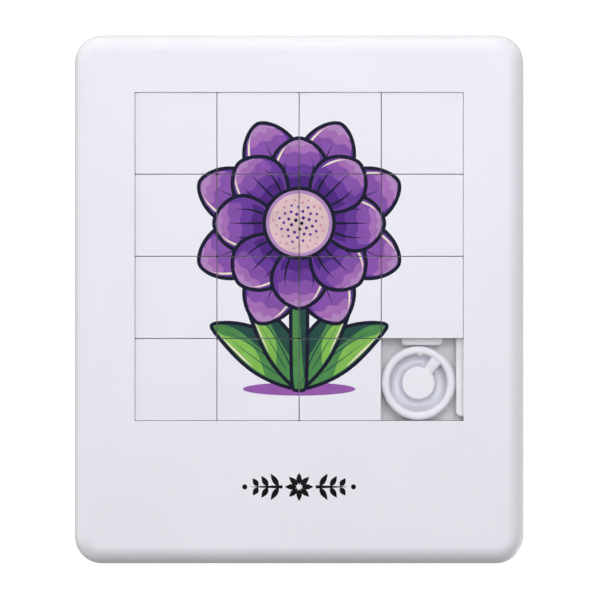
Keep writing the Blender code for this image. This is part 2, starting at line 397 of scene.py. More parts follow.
def lay_handling_marks(board: Board, given: bpy.types.NodeSocket) -> dict:
    """Hairline rubs left by sliding and by pockets: thin, long streaks in patches."""
    stretch = board.add("ShaderNodeMapping", {"Vector": given["Position"], "Scale": (1.0, 0.05, 1.0)})
    turn = board.add(
        "ShaderNodeMapping",
        {"Vector": given["Position"], "Rotation": (0.0, 0.0, 1.1), "Scale": (1.0, 0.04, 1.0)},
    )
    streaks = []
    for source in (stretch, turn):
        noise = board.add(
            "ShaderNodeTexNoise",
            {"Vector": source.outputs[0], "Scale": given["Scale"], "Detail": 2.0},
        )
        thin = board.add(
            "ShaderNodeMapRange", {"Value": noise.outputs[0], "From Min": 0.64, "From Max": 0.72}
        )
        streaks.append(thin.outputs[0])
    both = board.add("ShaderNodeMath", {0: streaks[0], 1: streaks[1]}, operation="MAXIMUM")
    patches = board.add("ShaderNodeTexNoise", {"Vector": given["Position"], "Scale": 90.0})
    where = board.add(
        "ShaderNodeMapRange", {"Value": patches.outputs[0], "From Min": 0.45, "From Max": 0.65}
    )
    marks = board.add("ShaderNodeMath", {0: both.outputs[0], 1: where.outputs[0]}, operation="MULTIPLY")
    return {"Mask": marks.outputs[0]}


def lay_ink_stipple(board: Board, given: bpy.types.NodeSocket) -> dict:
    """Cured ink droplets: tiny domes in a close, uneven packing."""
    drops = board.add("ShaderNodeTexVoronoi", {"Vector": given["Position"], "Scale": given["Scale"]})
    dome = board.add(
        "ShaderNodeMapRange",
        {"Value": drops.outputs["Distance"], "From Max": 0.7, "To Min": 1.0, "To Max": 0.0},
    )
    return {"Height": dome.outputs[0]}


MOULDED_GRAIN = Effect(
    "moulded_grain",
    (("Position", VECTOR), ("Scale", FLOAT), ("Ripple", FLOAT)),
    (("Height", FLOAT),),
    lay_moulded_grain,
)
TONE_DRIFT = Effect(
    "tone_drift",
    (("Position", VECTOR), ("Scale", FLOAT), ("Light", COLOUR), ("Dark", COLOUR)),
    (("Color", COLOUR),),
    lay_tone_drift,
)
HANDLING_MARKS = Effect(
    "handling_marks",
    (("Position", VECTOR), ("Scale", FLOAT)),
    (("Mask", FLOAT),),
    lay_handling_marks,
)
INK_STIPPLE = Effect(
    "ink_stipple",
    (("Position", VECTOR), ("Scale", FLOAT)),
    (("Height", FLOAT),),
    lay_ink_stipple,
)


def new_material(name: str) -> tuple[bpy.types.Material, Board, bpy.types.Node]:
    """Starts a material and returns it with its board and its Principled BSDF."""
    material = bpy.data.materials.new(name)
    material.use_nodes = True
    shader = material.node_tree.nodes["Principled BSDF"]
    return material, Board(material.node_tree), shader


@dataclass(frozen=True)
class Finish:
    """What every finish shares: a drifting tone, rub marks in its gloss and a fine relief."""

    name: str
    light: Colour
    dark: Colour
    roughness: float
    rubbed_roughness: float
    drift_scale: float = 55.0
    mark_scale: float = 900.0
    relief_strength: float = 0.35
    relief_depth: float = 0.006 * MM

    def relief(self, board: Board, place: bpy.types.NodeSocket) -> bpy.types.Node:
        """The effect whose height the surface follows."""
        raise NotImplementedError

    def tinted(
        self, board: Board, place: bpy.types.NodeSocket, tone: bpy.types.NodeSocket
    ) -> bpy.types.NodeSocket:
        """The colour with whatever is laid over the tone, which is nothing here."""
        return tone

    def adjust(self, shader: bpy.types.Node) -> None:
        """Sets what is constant on the shader."""

    def material(self) -> bpy.types.Material:
        """Builds the material the first time, and returns it."""
        known = bpy.data.materials.get(self.name)
        if known:
            return known
        material, board, shader = new_material(self.name)
        place = board.add("ShaderNodeTexCoord").outputs["Object"]
        tones = {"Light": (*self.light, 1.0), "Dark": (*self.dark, 1.0)}
        tone = TONE_DRIFT.place(board, {"Position": place, "Scale": self.drift_scale, **tones})
        marks = HANDLING_MARKS.place(board, {"Position": place, "Scale": self.mark_scale})
        gloss = board.add(
            "ShaderNodeMapRange",
            {
                "Value": marks.outputs["Mask"],
                "To Min": self.roughness,
                "To Max": self.rubbed_roughness,
            },
        )
        height = self.relief(board, place).outputs["Height"]
        bump = board.add(
            "ShaderNodeBump",
            {"Strength": self.relief_strength, "Distance": self.relief_depth, "Height": height},
        )
        for socket, source in (
            ("Base Color", self.tinted(board, place, tone.outputs["Color"])),
            ("Roughness", gloss.outputs[0]),
            ("Normal", bump.outputs[0]),
        ):
            board.tree.links.new(source, shader.inputs[socket])
        self.adjust(shader)
        return material


@dataclass(frozen=True)
class MouldedPlastic(Finish):
    """Satin injection-moulded styrene. Where a tint is given, the upper face, where it is printed, is
    multiplied down by it while everything below keeps the lighter tone: painted light that brightens the
    rails, grooves, cell floors and sides, which the lamps reach less.
    """

    # ground is a painted shade tint for the upper face, and everything lower keeps the plastic's lighter
    # tone as painted light; the next two heights are where the tint starts and where it is full.
    ground: Colour | None = None
    face_shade_from: float = 6.4 * MM
    face_shade_full: float = 7.1 * MM
    grain_scale: float = 5200.0
    ripple: float = 1.5
    refraction: float = 1.53

    def relief(self, board: Board, place: bpy.types.NodeSocket) -> bpy.types.Node:
        """The tool's grain."""
        return MOULDED_GRAIN.place(
            board, {"Position": place, "Scale": self.grain_scale, "Ripple": self.ripple}
        )

    def tinted(
        self, board: Board, place: bpy.types.NodeSocket, tone: bpy.types.NodeSocket
    ) -> bpy.types.NodeSocket:
        """Multiplies the upper face's tone by the ground tint, a painted shade that lets the plastic's tone
        through and leaves the lower surfaces lighter as painted light.
        """
        if not self.ground:
            return tone
        height = board.add("ShaderNodeSeparateXYZ", {"Vector": place}).outputs["Z"]
        cover = board.add(
            "ShaderNodeMapRange",
            {"Value": height, "From Min": self.face_shade_from, "From Max": self.face_shade_full},
            interpolation_type="SMOOTHSTEP",
        )
        # Painted shade on the upper face, so that the lower surfaces read lighter as painted light.
        face_shade_tone = board.add(
            "ShaderNodeMix",
            {0: cover.outputs[0], 6: tone, 7: (*self.ground, 1.0)},
            data_type="RGBA",
            blend_type="MULTIPLY",
        )
        return face_shade_tone.outputs[2]

    def adjust(self, shader: bpy.types.Node) -> None:
        """Sets styrene's index of refraction."""
        shader.inputs["IOR"].default_value = self.refraction


@dataclass(frozen=True)
class PrintingInk(Finish):
    """One ink of the print, cured under a lamp."""

    drop_scale: float = 9000.0
    gloss: float = 0.08

    def relief(self, board: Board, place: bpy.types.NodeSocket) -> bpy.types.Node:
        """The cured droplets."""
        return INK_STIPPLE.place(board, {"Position": place, "Scale": self.drop_scale})

    def adjust(self, shader: bpy.types.Node) -> None:
        """Sets how little the ink shines."""
        shader.inputs["Specular IOR Level"].default_value = self.gloss


def shown(red: int, green: int, blue: int, light: float = 1.12) -> Colour:
    """Reflectance of a colour, given as a screen shows it under the studio's light.

    Args:
        red: Red on a scale of 255.
        green: Green on a scale of 255.
        blue: Blue on a scale of 255.
        light: How much brighter than a plain white wall the light makes a white face.

    Returns:
        The linear reflectance.
    """

    def linear(value: int) -> float:
        """Undoes the screen's curve."""
        share = value / 255
        return (((share + 0.055) / 1.055) ** 2.4 if share > 0.04045 else share / 12.92) / light

    return linear(red), linear(green), linear(blue)


def mixed(name: str, red: int, green: int, blue: int, variation: float = 0.08) -> PrintingInk:
    """Mixes an ink.

    Args:
        name: The ink's name.
        red: Red on a screen, on a scale of 255.
        green: Green on a screen.
        blue: Blue on a screen.
        variation: How far its tone drifts to either side, as a share.

    Returns:
        The ink.
    """
    colour = shown(red, green, blue)
    light = tuple(min(1.0, part * (1 + variation)) for part in colour)
    dark = tuple(part * (1 - variation) for part in colour)
    return PrintingInk(f"ink_{name}", light, dark, 0.5, 0.7, 420.0, 1200.0, 0.25, 0.004 * MM)


class Ink(Enum):
    """The inks of the print."""

    LINE = mixed("line", 18, 22, 48)
    BLACK = mixed("black", 10, 10, 12)
    PLUM = mixed("plum", 84, 38, 138)
    VIOLET = mixed("violet", 112, 62, 166)
    PURPLE = mixed("purple", 144, 88, 184)
    LILAC = mixed("lilac", 178, 118, 196)
    MAUVE = mixed("mauve", 192, 146, 208)
    BLUSH = mixed("blush", 238, 206, 210)
    ROSE = mixed("rose", 224, 150, 176)
    CREAM = mixed("cream", 252, 240, 216)
    FOREST = mixed("forest", 38, 82, 74)
    LEAF = mixed("leaf", 84, 150, 84)
    LIME = mixed("lime", 142, 204, 92)
    GROUND = mixed("ground", 164, 98, 188)


# The ground tints of the frame and the tiles are painted shade on their upper faces; their lower surfaces
# keep the lighter tone as painted light.
FRAME_PLASTIC = MouldedPlastic(
    "frame_moulded_white", (0.93, 0.93, 0.965), (0.905, 0.905, 0.94), 0.52, 0.6, ground=(0.96, 0.957, 1.0)
)
COVER_PLASTIC = MouldedPlastic("cover_moulded_white", (0.92, 0.92, 0.955), (0.90, 0.90, 0.935), 0.5, 0.6)
TILE_PLASTIC = MouldedPlastic(
    "tile_moulded_white", (0.92, 0.92, 0.955), (0.895, 0.895, 0.93), 0.48, 0.56, ground=(0.955, 0.951, 1.0)
)
PLUG_PLASTIC = MouldedPlastic("plug_moulded_white", (0.795, 0.795, 0.866), (0.775, 0.775, 0.845), 0.3, 0.4)


# The field and the moulded parts


@dataclass(frozen=True)
class Field:
    """The grid of cells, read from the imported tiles."""

    gap: float = 0.1 * MM
    count: int = 4

    @property
    def pitch(self) -> float:
        """Width of a cell."""
        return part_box("tile_02")[1].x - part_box("tile_01")[1].x

    @property
    def centre(self) -> Point:
        """Middle of the field: tile_10 ends there on its right and at its top."""
        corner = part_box("tile_10")[1]
        return corner.x + self.gap / 2, corner.y + self.gap / 2

    @property
    def half(self) -> float:
        """Half of the field's width."""
        return self.count * self.pitch / 2

    def tile_centre(self, node: str) -> Point:
        """Middle of a tile's square face."""
        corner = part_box(node)[1]
        half = (self.pitch - self.gap) / 2
        return corner.x - half, corner.y - half


@dataclass(frozen=True)
class Tongue:
    """The tongue that every tile and both rails share."""

    low: float = 3.9 * MM
    high: float = 5.1 * MM
    reach: float = 1.1 * MM
    width: float = 6.3 * MM
    corner: float = 0.6 * MM
    root: float = 1.0 * MM
    groove_depth: float = 1.3 * MM
    groove_play: float = 0.2 * MM
    roll: float = 0.18 * MM


@dataclass
class Pegs:
    """The press-fit pegs of the back and their sockets in the frame."""

    radius: float = 1.2 * MM
    top: float = 4.8 * MM
    gap: float = 0.1 * MM
    chamfer: float = 0.25 * MM
    block: float = 5.0 * MM
    skirt: float = 1.8 * MM
    field_wall: float = 2.4 * MM

    def places(self, field_plan: Field) -> list[Point]:
        """Where the six pegs stand: the corners, and beside the field on each side."""
        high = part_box("front_frame")[1]
        wall = field_plan.half + self.field_wall
        x = wall + (high.x - self.skirt - wall) / 2
        corner_y = high.y - self.skirt - self.block / 2
        return [(side * x, y) for side in (-1, 1) for y in (-corner_y, field_plan.centre[1], corner_y)]


@dataclass
class FrameShell:
    """The one-piece front: rounded face, skirt, field wall, rails and grooves."""

    field_plan: Field
    tongue: Tongue
    pegs: Pegs
    corner: float = 4.2 * MM
    edge_roll: float = 2.6 * MM
    foot_roll: float = 0.25 * MM
    lip_roll: float = 0.28 * MM
    window_corner: float = 0.1 * MM
    face: float = 1.8 * MM
    cover_depth: float = 1.6 * MM
    rib: float = 1.2 * MM
    hollow_corner: float = 0.6 * MM
    rail_end_gap: float = 0.6 * MM
    rail_corner: float = 0.85 * MM
    rail_roll: float = 0.25 * MM
    corner_steps: int = 14
    roll_steps: int = 12
    past: float = 1.0 * MM

    def outer(self, high: Vector, inset: float, height: float) -> Ring:
        """The frame's outline at one height, pulled in by the inset."""
        half = (high.x - inset, high.y - inset)
        return rounded_ring((0.0, 0.0), half, self.corner - inset, height, self.corner_steps)

    def window(self, spread: float, height: float) -> Ring:
        """The window's outline at one height, pushed out by the spread."""
        half = self.field_plan.half + spread
        corner = self.window_corner + spread
        return rounded_ring(self.field_plan.centre, (half, half), corner, height, self.corner_steps)

    def shell(self, high: Vector) -> bpy.types.Object:
        """Lofts the solid front: up the outside, over the face and down the window."""
        rings = [self.outer(high, inset, drop) for inset, drop in rolled(self.foot_roll, 4)]
        for inset, drop in reversed(rolled(self.edge_roll, self.roll_steps)):
            rings.append(self.outer(high, inset, high.z - drop))
        for inset, drop in rolled(self.lip_roll, 5):
            rings.append(self.window(self.lip_roll - inset, high.z - drop))
        rings.append(self.window(0.0, 0.0))
        return loft("frame_moulding", rings, looped=True)

    def hollows(self, high: Vector) -> list[bpy.types.Object]:
        """The pockets that core the frame out from behind, with ribs between them."""
        inner_x, inner_y = high.x - self.pegs.skirt, high.y - self.pegs.skirt
        wall = self.field_plan.half + self.pegs.field_wall
        middle_y = self.field_plan.centre[1]
        top, bottom = middle_y + wall, middle_y - wall
        block = self.pegs.block
        across = []
        for low_y, high_y in (
            (-inner_y + block, middle_y - block / 2),
            (middle_y + block / 2, inner_y - block),
        ):
            across += [(-inner_x, -wall, low_y, high_y), (wall, inner_x, low_y, high_y)]
        reach = wall - self.rib
        split_y = (bottom - inner_y) / 2
        for low_x, high_x in ((-reach, -self.rib / 2), (self.rib / 2, reach)):
            across += [
                (low_x, high_x, top, inner_y),
                (low_x, high_x, -inner_y, split_y - self.rib / 2),
                (low_x, high_x, split_y + self.rib / 2, bottom),
            ]
        ceiling = high.z - self.face
        return [
            Block((x0, y0, 0.0), (x1, y1, ceiling), self.hollow_corner).build("hollow")
            for x0, x1, y0, y1 in across
        ]

    def cutters(self, high: Vector) -> list[bpy.types.Object]:
        """What is cut from behind: the cover's recess, the hollows, the sockets and the grooves."""
        skirt = self.pegs.skirt
        recess = Block(
            (-high.x + skirt, -high.y + skirt, -self.past),
            (high.x - skirt, high.y - skirt, self.cover_depth),
            self.corner - skirt,
        )
        middle, half = self.field_plan.centre, self.field_plan.half
        tongue = self.tongue
        grooves = Block(
            (
                middle[0] - half - tongue.groove_depth,
                middle[1] - half - tongue.groove_depth,
                tongue.low - tongue.groove_play,
            ),
            (
                middle[0] + half - self.rail_end_gap,
                middle[1] + half - self.rail_end_gap,
                tongue.high + tongue.groove_play,
            ),
        )
        sockets = [
            post(place, self.pegs.radius + self.pegs.gap, 0.0, self.pegs.top + 2 * self.pegs.gap)
            for place in self.pegs.places(self.field_plan)
        ]
        return [recess.build("recess"), *self.hollows(high), grooves.build("grooves"), *sockets]

    def rails(self) -> list[bpy.types.Object]:
        """The rails on the right and top walls of the window."""
        (x, y), half, tongue = self.field_plan.centre, self.field_plan.half, self.tongue
        far_x, far_y = x + half, y + half
        spans = {
            "right_rail": (far_x - tongue.reach, y - half + self.rail_end_gap, far_x + tongue.root),
            "top_rail": (x - half + self.rail_end_gap, far_y - tongue.reach, far_x + tongue.root / 2),
        }
        return [
            Block(
                (low_x, low_y, tongue.low),
                (high_x, far_y + tongue.root, tongue.high),
                self.rail_corner,
                self.rail_roll,
                self.rail_roll,
                corner_steps=8,
            ).build(name)
            for name, (low_x, low_y, high_x) in spans.items()
        ]

    def build(self, print_depth: float) -> None:
        """Builds and dresses the front.

        Args:
            print_depth: How far the bare face lies below the top of the print on it.
        """
        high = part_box("front_frame")[1]
        high.z -= print_depth
        moulding = self.shell(high)
        work(moulding, self.cutters(high), self.rails())
        dress(moulding, FRAME_PLASTIC, "frame", ["front_frame"])


@dataclass
class BackCover:
    """The pressed-in plate that closes the back and carries the tiles."""

    field_plan: Field
    pegs: Pegs
    corner: float = 2.2 * MM
    outer_roll: float = 0.3 * MM
    inner_roll: float = 0.08 * MM
    thickness: float = 1.5 * MM
    notch: tuple[float, float, float] = (8.0 * MM, 0.9 * MM, 0.8 * MM)
    gate_radius: float = 2.4 * MM
    gate_depth: float = 0.3 * MM
    nub_radius: float = 0.55 * MM
    ejector_radius: float = 1.5 * MM
    ejector_depth: float = 0.06 * MM
    ejector_column: float = 0.62
    ejector_rows: tuple[float, ...] = (0.72, 0.24, -0.24, -0.72)

    def marks(self, low: Vector) -> list[bpy.types.Object]:
        """What moulding leaves on the outside: a gate dimple and the witness of eight sleeves."""
        gate = [
            (self.gate_radius - self.gate_depth, self.gate_depth),
            (self.gate_radius, -self.gate_depth),
        ]
        marks = [turned("gate_dimple", gate, (0.0, 0.0), 48)]
        disc = [(self.ejector_radius, self.ejector_depth), (self.ejector_radius, -self.ejector_depth)]
        for side in (1, -1):
            for row in self.ejector_rows:
                place = (side * low.x * self.ejector_column, low.y * row)
                marks.append(turned("ejector_mark", disc, place, 40))
        return marks

    def build(self) -> None:
        """Builds and dresses the back cover."""
        low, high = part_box("back_cover")
        plate = Block(
            tuple(low),
            (high.x, high.y, self.thickness),
            self.corner,
            self.inner_roll,
            self.outer_roll,
            corner_steps=8,
        )
        moulding = plate.build("back_cover_moulding")
        width, depth, height = self.notch
        notch = Block(
            (-width / 2, low.y - depth, -height),
            (width / 2, low.y + depth, height),
            0.3 * MM,
        )
        pegs = [
            post(place, self.pegs.radius, self.thickness / 2, self.pegs.top, self.pegs.chamfer)
            for place in self.pegs.places(self.field_plan)
        ]
        nub = turned(
            "gate_nub",
            [(self.nub_radius, self.thickness / 2), (self.nub_radius * 0.8, self.gate_depth / 3)],
            (0.0, 0.0),
            32,
        )
        work(moulding, [notch.build("pry_notch"), *self.marks(low)], [*pegs, nub])
        dress(moulding, COVER_PLASTIC, "frame", ["back_cover"])


@dataclass
class SlidingTiles:
    """The fifteen tiles, each a cored block with two tongues and two grooves."""

    field_plan: Field
    tongue: Tongue
    corner: float = 0.2 * MM
    top_roll: float = 0.09 * MM
    foot_roll: float = 0.12 * MM
    core: float = 7.6 * MM
    core_shift: float = -0.4 * MM
    core_top: float = 5.0 * MM
    past: float = 1.0 * MM
    nodes: list[str] = field(default_factory=lambda: sorted(n for n in frame["nodes"] if "tile" in n))

    def pattern(self) -> bpy.types.Mesh:
        """One tile about the origin in X and Y, at its real height."""
        low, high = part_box(self.nodes[0])
        half = (self.field_plan.pitch - self.field_plan.gap) / 2
        tongue = self.tongue
        blank = Block(
            (-half, -half, low.z),
            (half, half, high.z),
            self.corner,
            self.top_roll,
            self.foot_roll,
        ).build("tile_pattern")
        groove_low, groove_high = tongue.low - tongue.groove_play, tongue.high + tongue.groove_play
        inner, past = half - tongue.groove_depth, half + self.past
        core_low, core_high = self.core_shift - self.core / 2, self.core_shift + self.core / 2
        cut = [
            Block((inner, -past, groove_low), (past, past, groove_high)),
            Block((-past, inner, groove_low), (past, past, groove_high)),
            Block(
                (core_low, core_low, low.z - self.past),
                (core_high, core_high, self.core_top),
                0.5 * MM,
            ),
        ]
        tip, root, side = half + tongue.reach, half - tongue.root, tongue.width / 2
        join = [
            Block((x0, y0, tongue.low), (x1, y1, tongue.high), tongue.corner, tongue.roll, tongue.roll)
            for x0, y0, x1, y1 in ((-tip, -side, -root, side), (-side, -tip, side, -root))
        ]
        work(blank, [tool.build("cut") for tool in cut], [tool.build("join") for tool in join])
        mesh = blank.data
        bpy.data.objects.remove(blank)
        return mesh

    def build(self) -> None:
        """Builds and dresses every tile, each with its own copy of the pattern in its own place."""
        pattern = self.pattern()
        for node in self.nodes:
            mesh = pattern.copy()
            mesh.transform(Matrix.Translation((*self.field_plan.tile_centre(node), 0.0)))
            tile = add_object(f"{node}_moulding", mesh)
            dress(tile, TILE_PLASTIC, frame["nodes"][node]["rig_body"], [node])
        bpy.data.meshes.remove(pattern)


@dataclass
class LockPlug:
    """The round plug in the free cell: a rimmed ring, a boss and one spoke between them."""

    rim_width: float = 1.3 * MM
    rim_roll: float = 0.42 * MM
    draft: float = math.radians(13)
    boss_radius: float = 2.55 * MM
    boss_top: float = 6.9 * MM
    boss_roll: float = 0.25 * MM
    boss_foot: float = 0.7 * MM
    trough_bottom: float = 4.6 * MM
    core_radius: float = 3.2 * MM
    core_top: float = 2.8 * MM
    spoke_width: float = 1.6 * MM
    spoke_angle: float = math.radians(51.6)
    spoke_roll: float = 0.25 * MM
    nib_angle: float = math.radians(87)
    nib_radius: float = 0.45 * MM
    nib_drop: float = 0.04 * MM
    nib_length: float = 1.4 * MM
    steps: int = 128

    def arc(self, centre: Point, radii: Point, start: float, end: float, steps: int) -> list[Point]:
        """Points of an elliptical arc.

        Args:
            centre: Its middle, as (radius, height).
            radii: Its half axes.
            start: First angle in degrees.
            end: Last angle in degrees.
            steps: Segments in the arc.

        Returns:
            The (radius, height) points.
        """
        angles = [math.radians(start + (end - start) * i / steps) for i in range(steps + 1)]
        return [(centre[0] + radii[0] * math.cos(a), centre[1] + radii[1] * math.sin(a)) for a in angles]

    def profile(self, radius: float, low: float, high: float) -> list[Point]:
        """The plug's turned outline, from the boss over the rim and in under the core."""
        shoulder = high - self.rim_roll
        foot = self.boss_radius + self.boss_foot
        rim_inner = radius - self.rim_width
        bottom_radius = radius - (shoulder - low) * math.tan(self.draft)
        roll = (self.rim_roll, self.rim_roll)
        boss = (self.boss_radius - self.boss_roll, self.boss_top - self.boss_roll)
        points = self.arc(boss, (self.boss_roll, self.boss_roll), 90, 0, 6)
        rise = (shoulder - self.trough_bottom) * 0.6
        points += self.arc((foot, self.trough_bottom + rise), (self.boss_foot, rise), 180, 270, 10)
        points += self.arc(
            (foot, shoulder), (rim_inner - foot, shoulder - self.trough_bottom), 275, 352, 16
        )
        points += self.arc((rim_inner + self.rim_roll, shoulder), roll, 180, 90, 6)
        points += self.arc((radius - self.rim_roll, shoulder), roll, 90, 0, 8)
        points += [(bottom_radius, low), (self.core_radius, low), (self.core_radius, self.core_top)]
        return points

    def spoke(self, centre: Point, radius: float, high: float) -> bpy.types.Object:
        """The bar from the boss to the ring, level with each where it meets it."""
        low = (self.core_top + self.trough_bottom) / 2
        start, end = self.boss_radius * 0.8, radius - self.rim_width * 0.75
        rings = []
        stops = 8
        for stop in range(stops + 1):
            share = stop / stops
            along = start + (end - start) * share
            ease = share * share * (3 - 2 * share)
            top = self.boss_top - 0.02 * MM + (high - self.boss_top) * ease
            half = self.spoke_width / 2 * (1 + 0.12 * share)
            section = [Vector((along, -half, low)), Vector((along, half, low))]
            for inset, drop in reversed(rolled(self.spoke_roll, 4)):
                section.append(Vector((along, half - inset, top - drop)))
            for inset, drop in rolled(self.spoke_roll, 4):
                section.append(Vector((along, -half + inset, top - drop)))
            rings.append(section)
        bar = loft("spoke", rings)
        turn = Matrix.Translation((*centre, 0.0)) @ Matrix.Rotation(self.spoke_angle, 4, "Z")
        bar.data.transform(turn)
        return bar

    def nib(self, centre: Point, radius: float, high: float) -> bpy.types.Object:
        """The small gate stub left on the ring's inner lip."""
        reach = radius - self.rim_width + self.rim_roll - self.nib_radius / 2
        place = (
            centre[0] + reach * math.cos(self.nib_angle),
            centre[1] + reach * math.sin(self.nib_angle),
        )
        top = high - self.nib_drop
        return post(place, self.nib_radius, top - self.nib_length, top, self.nib_radius / 2)

    def build(self) -> None:
        """Builds and dresses the plug."""
        low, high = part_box("lock_plug")
        centre = ((low.x + high.x) / 2, (low.y + high.y) / 2)
        radius = (high.x - low.x) / 2
        profile = self.profile(radius, low.z, high.z)
        moulding = turned("lock_plug_moulding", profile, centre, self.steps)
        work(moulding, [], [self.spoke(centre, radius, high.z), self.nib(centre, radius, high.z)])
        dress(moulding, PLUG_PLASTIC, frame["nodes"]["lock_plug"]["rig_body"], ["lock_plug"])


# The print: flat shapes in millimetres, later ones over earlier ones


def mirrored(outline: Outline) -> Outline:
    """The outline reflected from left to right."""
    return [(-x, y) for x, y in outline]


def moved(outline: Outline, by: Point, turn: float = 0.0) -> Outline:
    """The outline turned about the origin and then shifted."""
    cos, sin = math.cos(turn), math.sin(turn)
    return [(by[0] + x * cos - y * sin, by[1] + x * sin + y * cos) for x, y in outline]


def ellipse(centre: Point, radii: Point, steps: int = 48) -> Outline:
    """An ellipse with upright axes."""
    angles = [2 * math.pi * step / steps for step in range(steps)]
    return [(centre[0] + radii[0] * math.cos(a), centre[1] + radii[1] * math.sin(a)) for a in angles]


def grown(outline: Outline, distance: float) -> Outline:
    """Pushes every point of an anticlockwise outline outwards by the distance."""
    result = []
    count = len(outline)
    for index, (x, y) in enumerate(outline):
        before, after = outline[index - 1], outline[(index + 1) % count]
        along = Vector((after[0] - before[0], after[1] - before[1]))
        if along.length < 1e-6:
            continue
        along.normalize()
        result.append((x + along.y * distance, y - along.x * distance))
    return result


def brush(line: Outline, width: float, thin_start: float = 0.25) -> Outline:
    """A stroke along a line that swells and then runs out to a point.

    Args:
        line: The points that it follows.
        width: Its greatest width.
        thin_start: Width where it starts, as a share of the greatest.

    Returns:
        The stroke's outline.
    """
    last = len(line) - 1
    left, right = [], []
    for index, (x, y) in enumerate(line):
        before, after = line[max(index - 1, 0)], line[min(index + 1, last)]
        along = Vector((after[0] - before[0], after[1] - before[1])).normalized()
        t = index / last
        swell = min(1.0, thin_start + 4 * t) * (1 - t) ** 0.7
        reach = width / 2 * max(swell, 0.02)
        left.append((x - along.y * reach, y + along.x * reach))
        right.append((x + along.y * reach, y - along.x * reach))
    return right + left[::-1]


@dataclass(frozen=True)
class Layer:
    """One shape in one ink, which may be kept inside another shape."""

    ink: Ink
    outline: Outline
    within: Outline | None = None

    def mirrored(self) -> "Layer":
        """The same layer reflected from left to right."""
        return Layer(self.ink, mirrored(self.outline), mirrored(self.within) if self.within else None)


@dataclass(frozen=True)
class Blade:
    """A petal or a leaf: a bowed middle line with a width that swells along it."""

    base: Point
    tip: Point
    half_width: float
    lean: float = 1.0
    blunt: float = 1.0
    bow: float = 0.0

    def place(self, along: float, across: float) -> Point:
        """A point given by its share of the length, and of the half width to the left."""
        (bx, by), (tx, ty) = self.base, self.tip
        side_x, side_y = -(ty - by), tx - bx
        middle = ((bx + tx) / 2 + side_x * self.bow, (by + ty) / 2 + side_y * self.bow)
        t, rest = along, 1 - along
        x = rest * rest * bx + 2 * t * rest * middle[0] + t * t * tx
        y = rest * rest * by + 2 * t * rest * middle[1] + t * t * ty
        run = Vector(
            (
                rest * (middle[0] - bx) + t * (tx - middle[0]),
                rest * (middle[1] - by) + t * (ty - middle[1]),
            )
        ).normalized()
        width = self.half_width * max(math.sin(math.pi * min(t, 1.0) ** self.lean), 0.0) ** self.blunt
        return x - run.y * width * across, y + run.x * width * across

    def outline(self, steps: int = 26) -> Outline:
        """The blade's edge, anticlockwise: out along its right side and back along its left."""
        stops = [(1 - math.cos(math.pi * step / steps)) / 2 for step in range(steps + 1)]
        right = [self.place(t, -1.0) for t in stops]
        left = [self.place(t, 1.0) for t in stops[-2:0:-1]]
        return right + left

    def band(self, start: float, end: float, ripple: float, waves: float, steps: int = 22) -> Outline:
        """A stretch of the blade whose two ends ripple, as tones laid over each other do."""
        shares = [2 * step / steps - 1 for step in range(steps + 1)]
        first = [self.place(max(start + ripple * math.sin(waves * s), 0.0), s * 1.1) for s in shares]
        last = [self.place(min(end + ripple * math.cos(waves * s + 1), 1.0), s * 1.1) for s in shares]
        return first + last[::-1]

    def strip(self, start: float, end: float, inner: float, outer: float, steps: int = 14) -> Outline:
        """A tapered strip along one side, between two shares of the half width."""
        stops = [start + (end - start) * step / steps for step in range(steps + 1)]
        near = []
        for index, t in enumerate(stops):
            open_by = math.sin(math.pi * index / steps)
            near.append(self.place(t, outer + (inner - outer) * open_by))
        far = [self.place(t, outer) for t in stops]
        return far + near[::-1][1:-1]

    def vein(self, across: float, start: float, end: float, width: float) -> Outline:
        """A brushed line along the blade at one share of its half width."""
        stops = [start + (end - start) * step / 10 for step in range(11)]
        return brush([self.place(t, across) for t in stops], width)


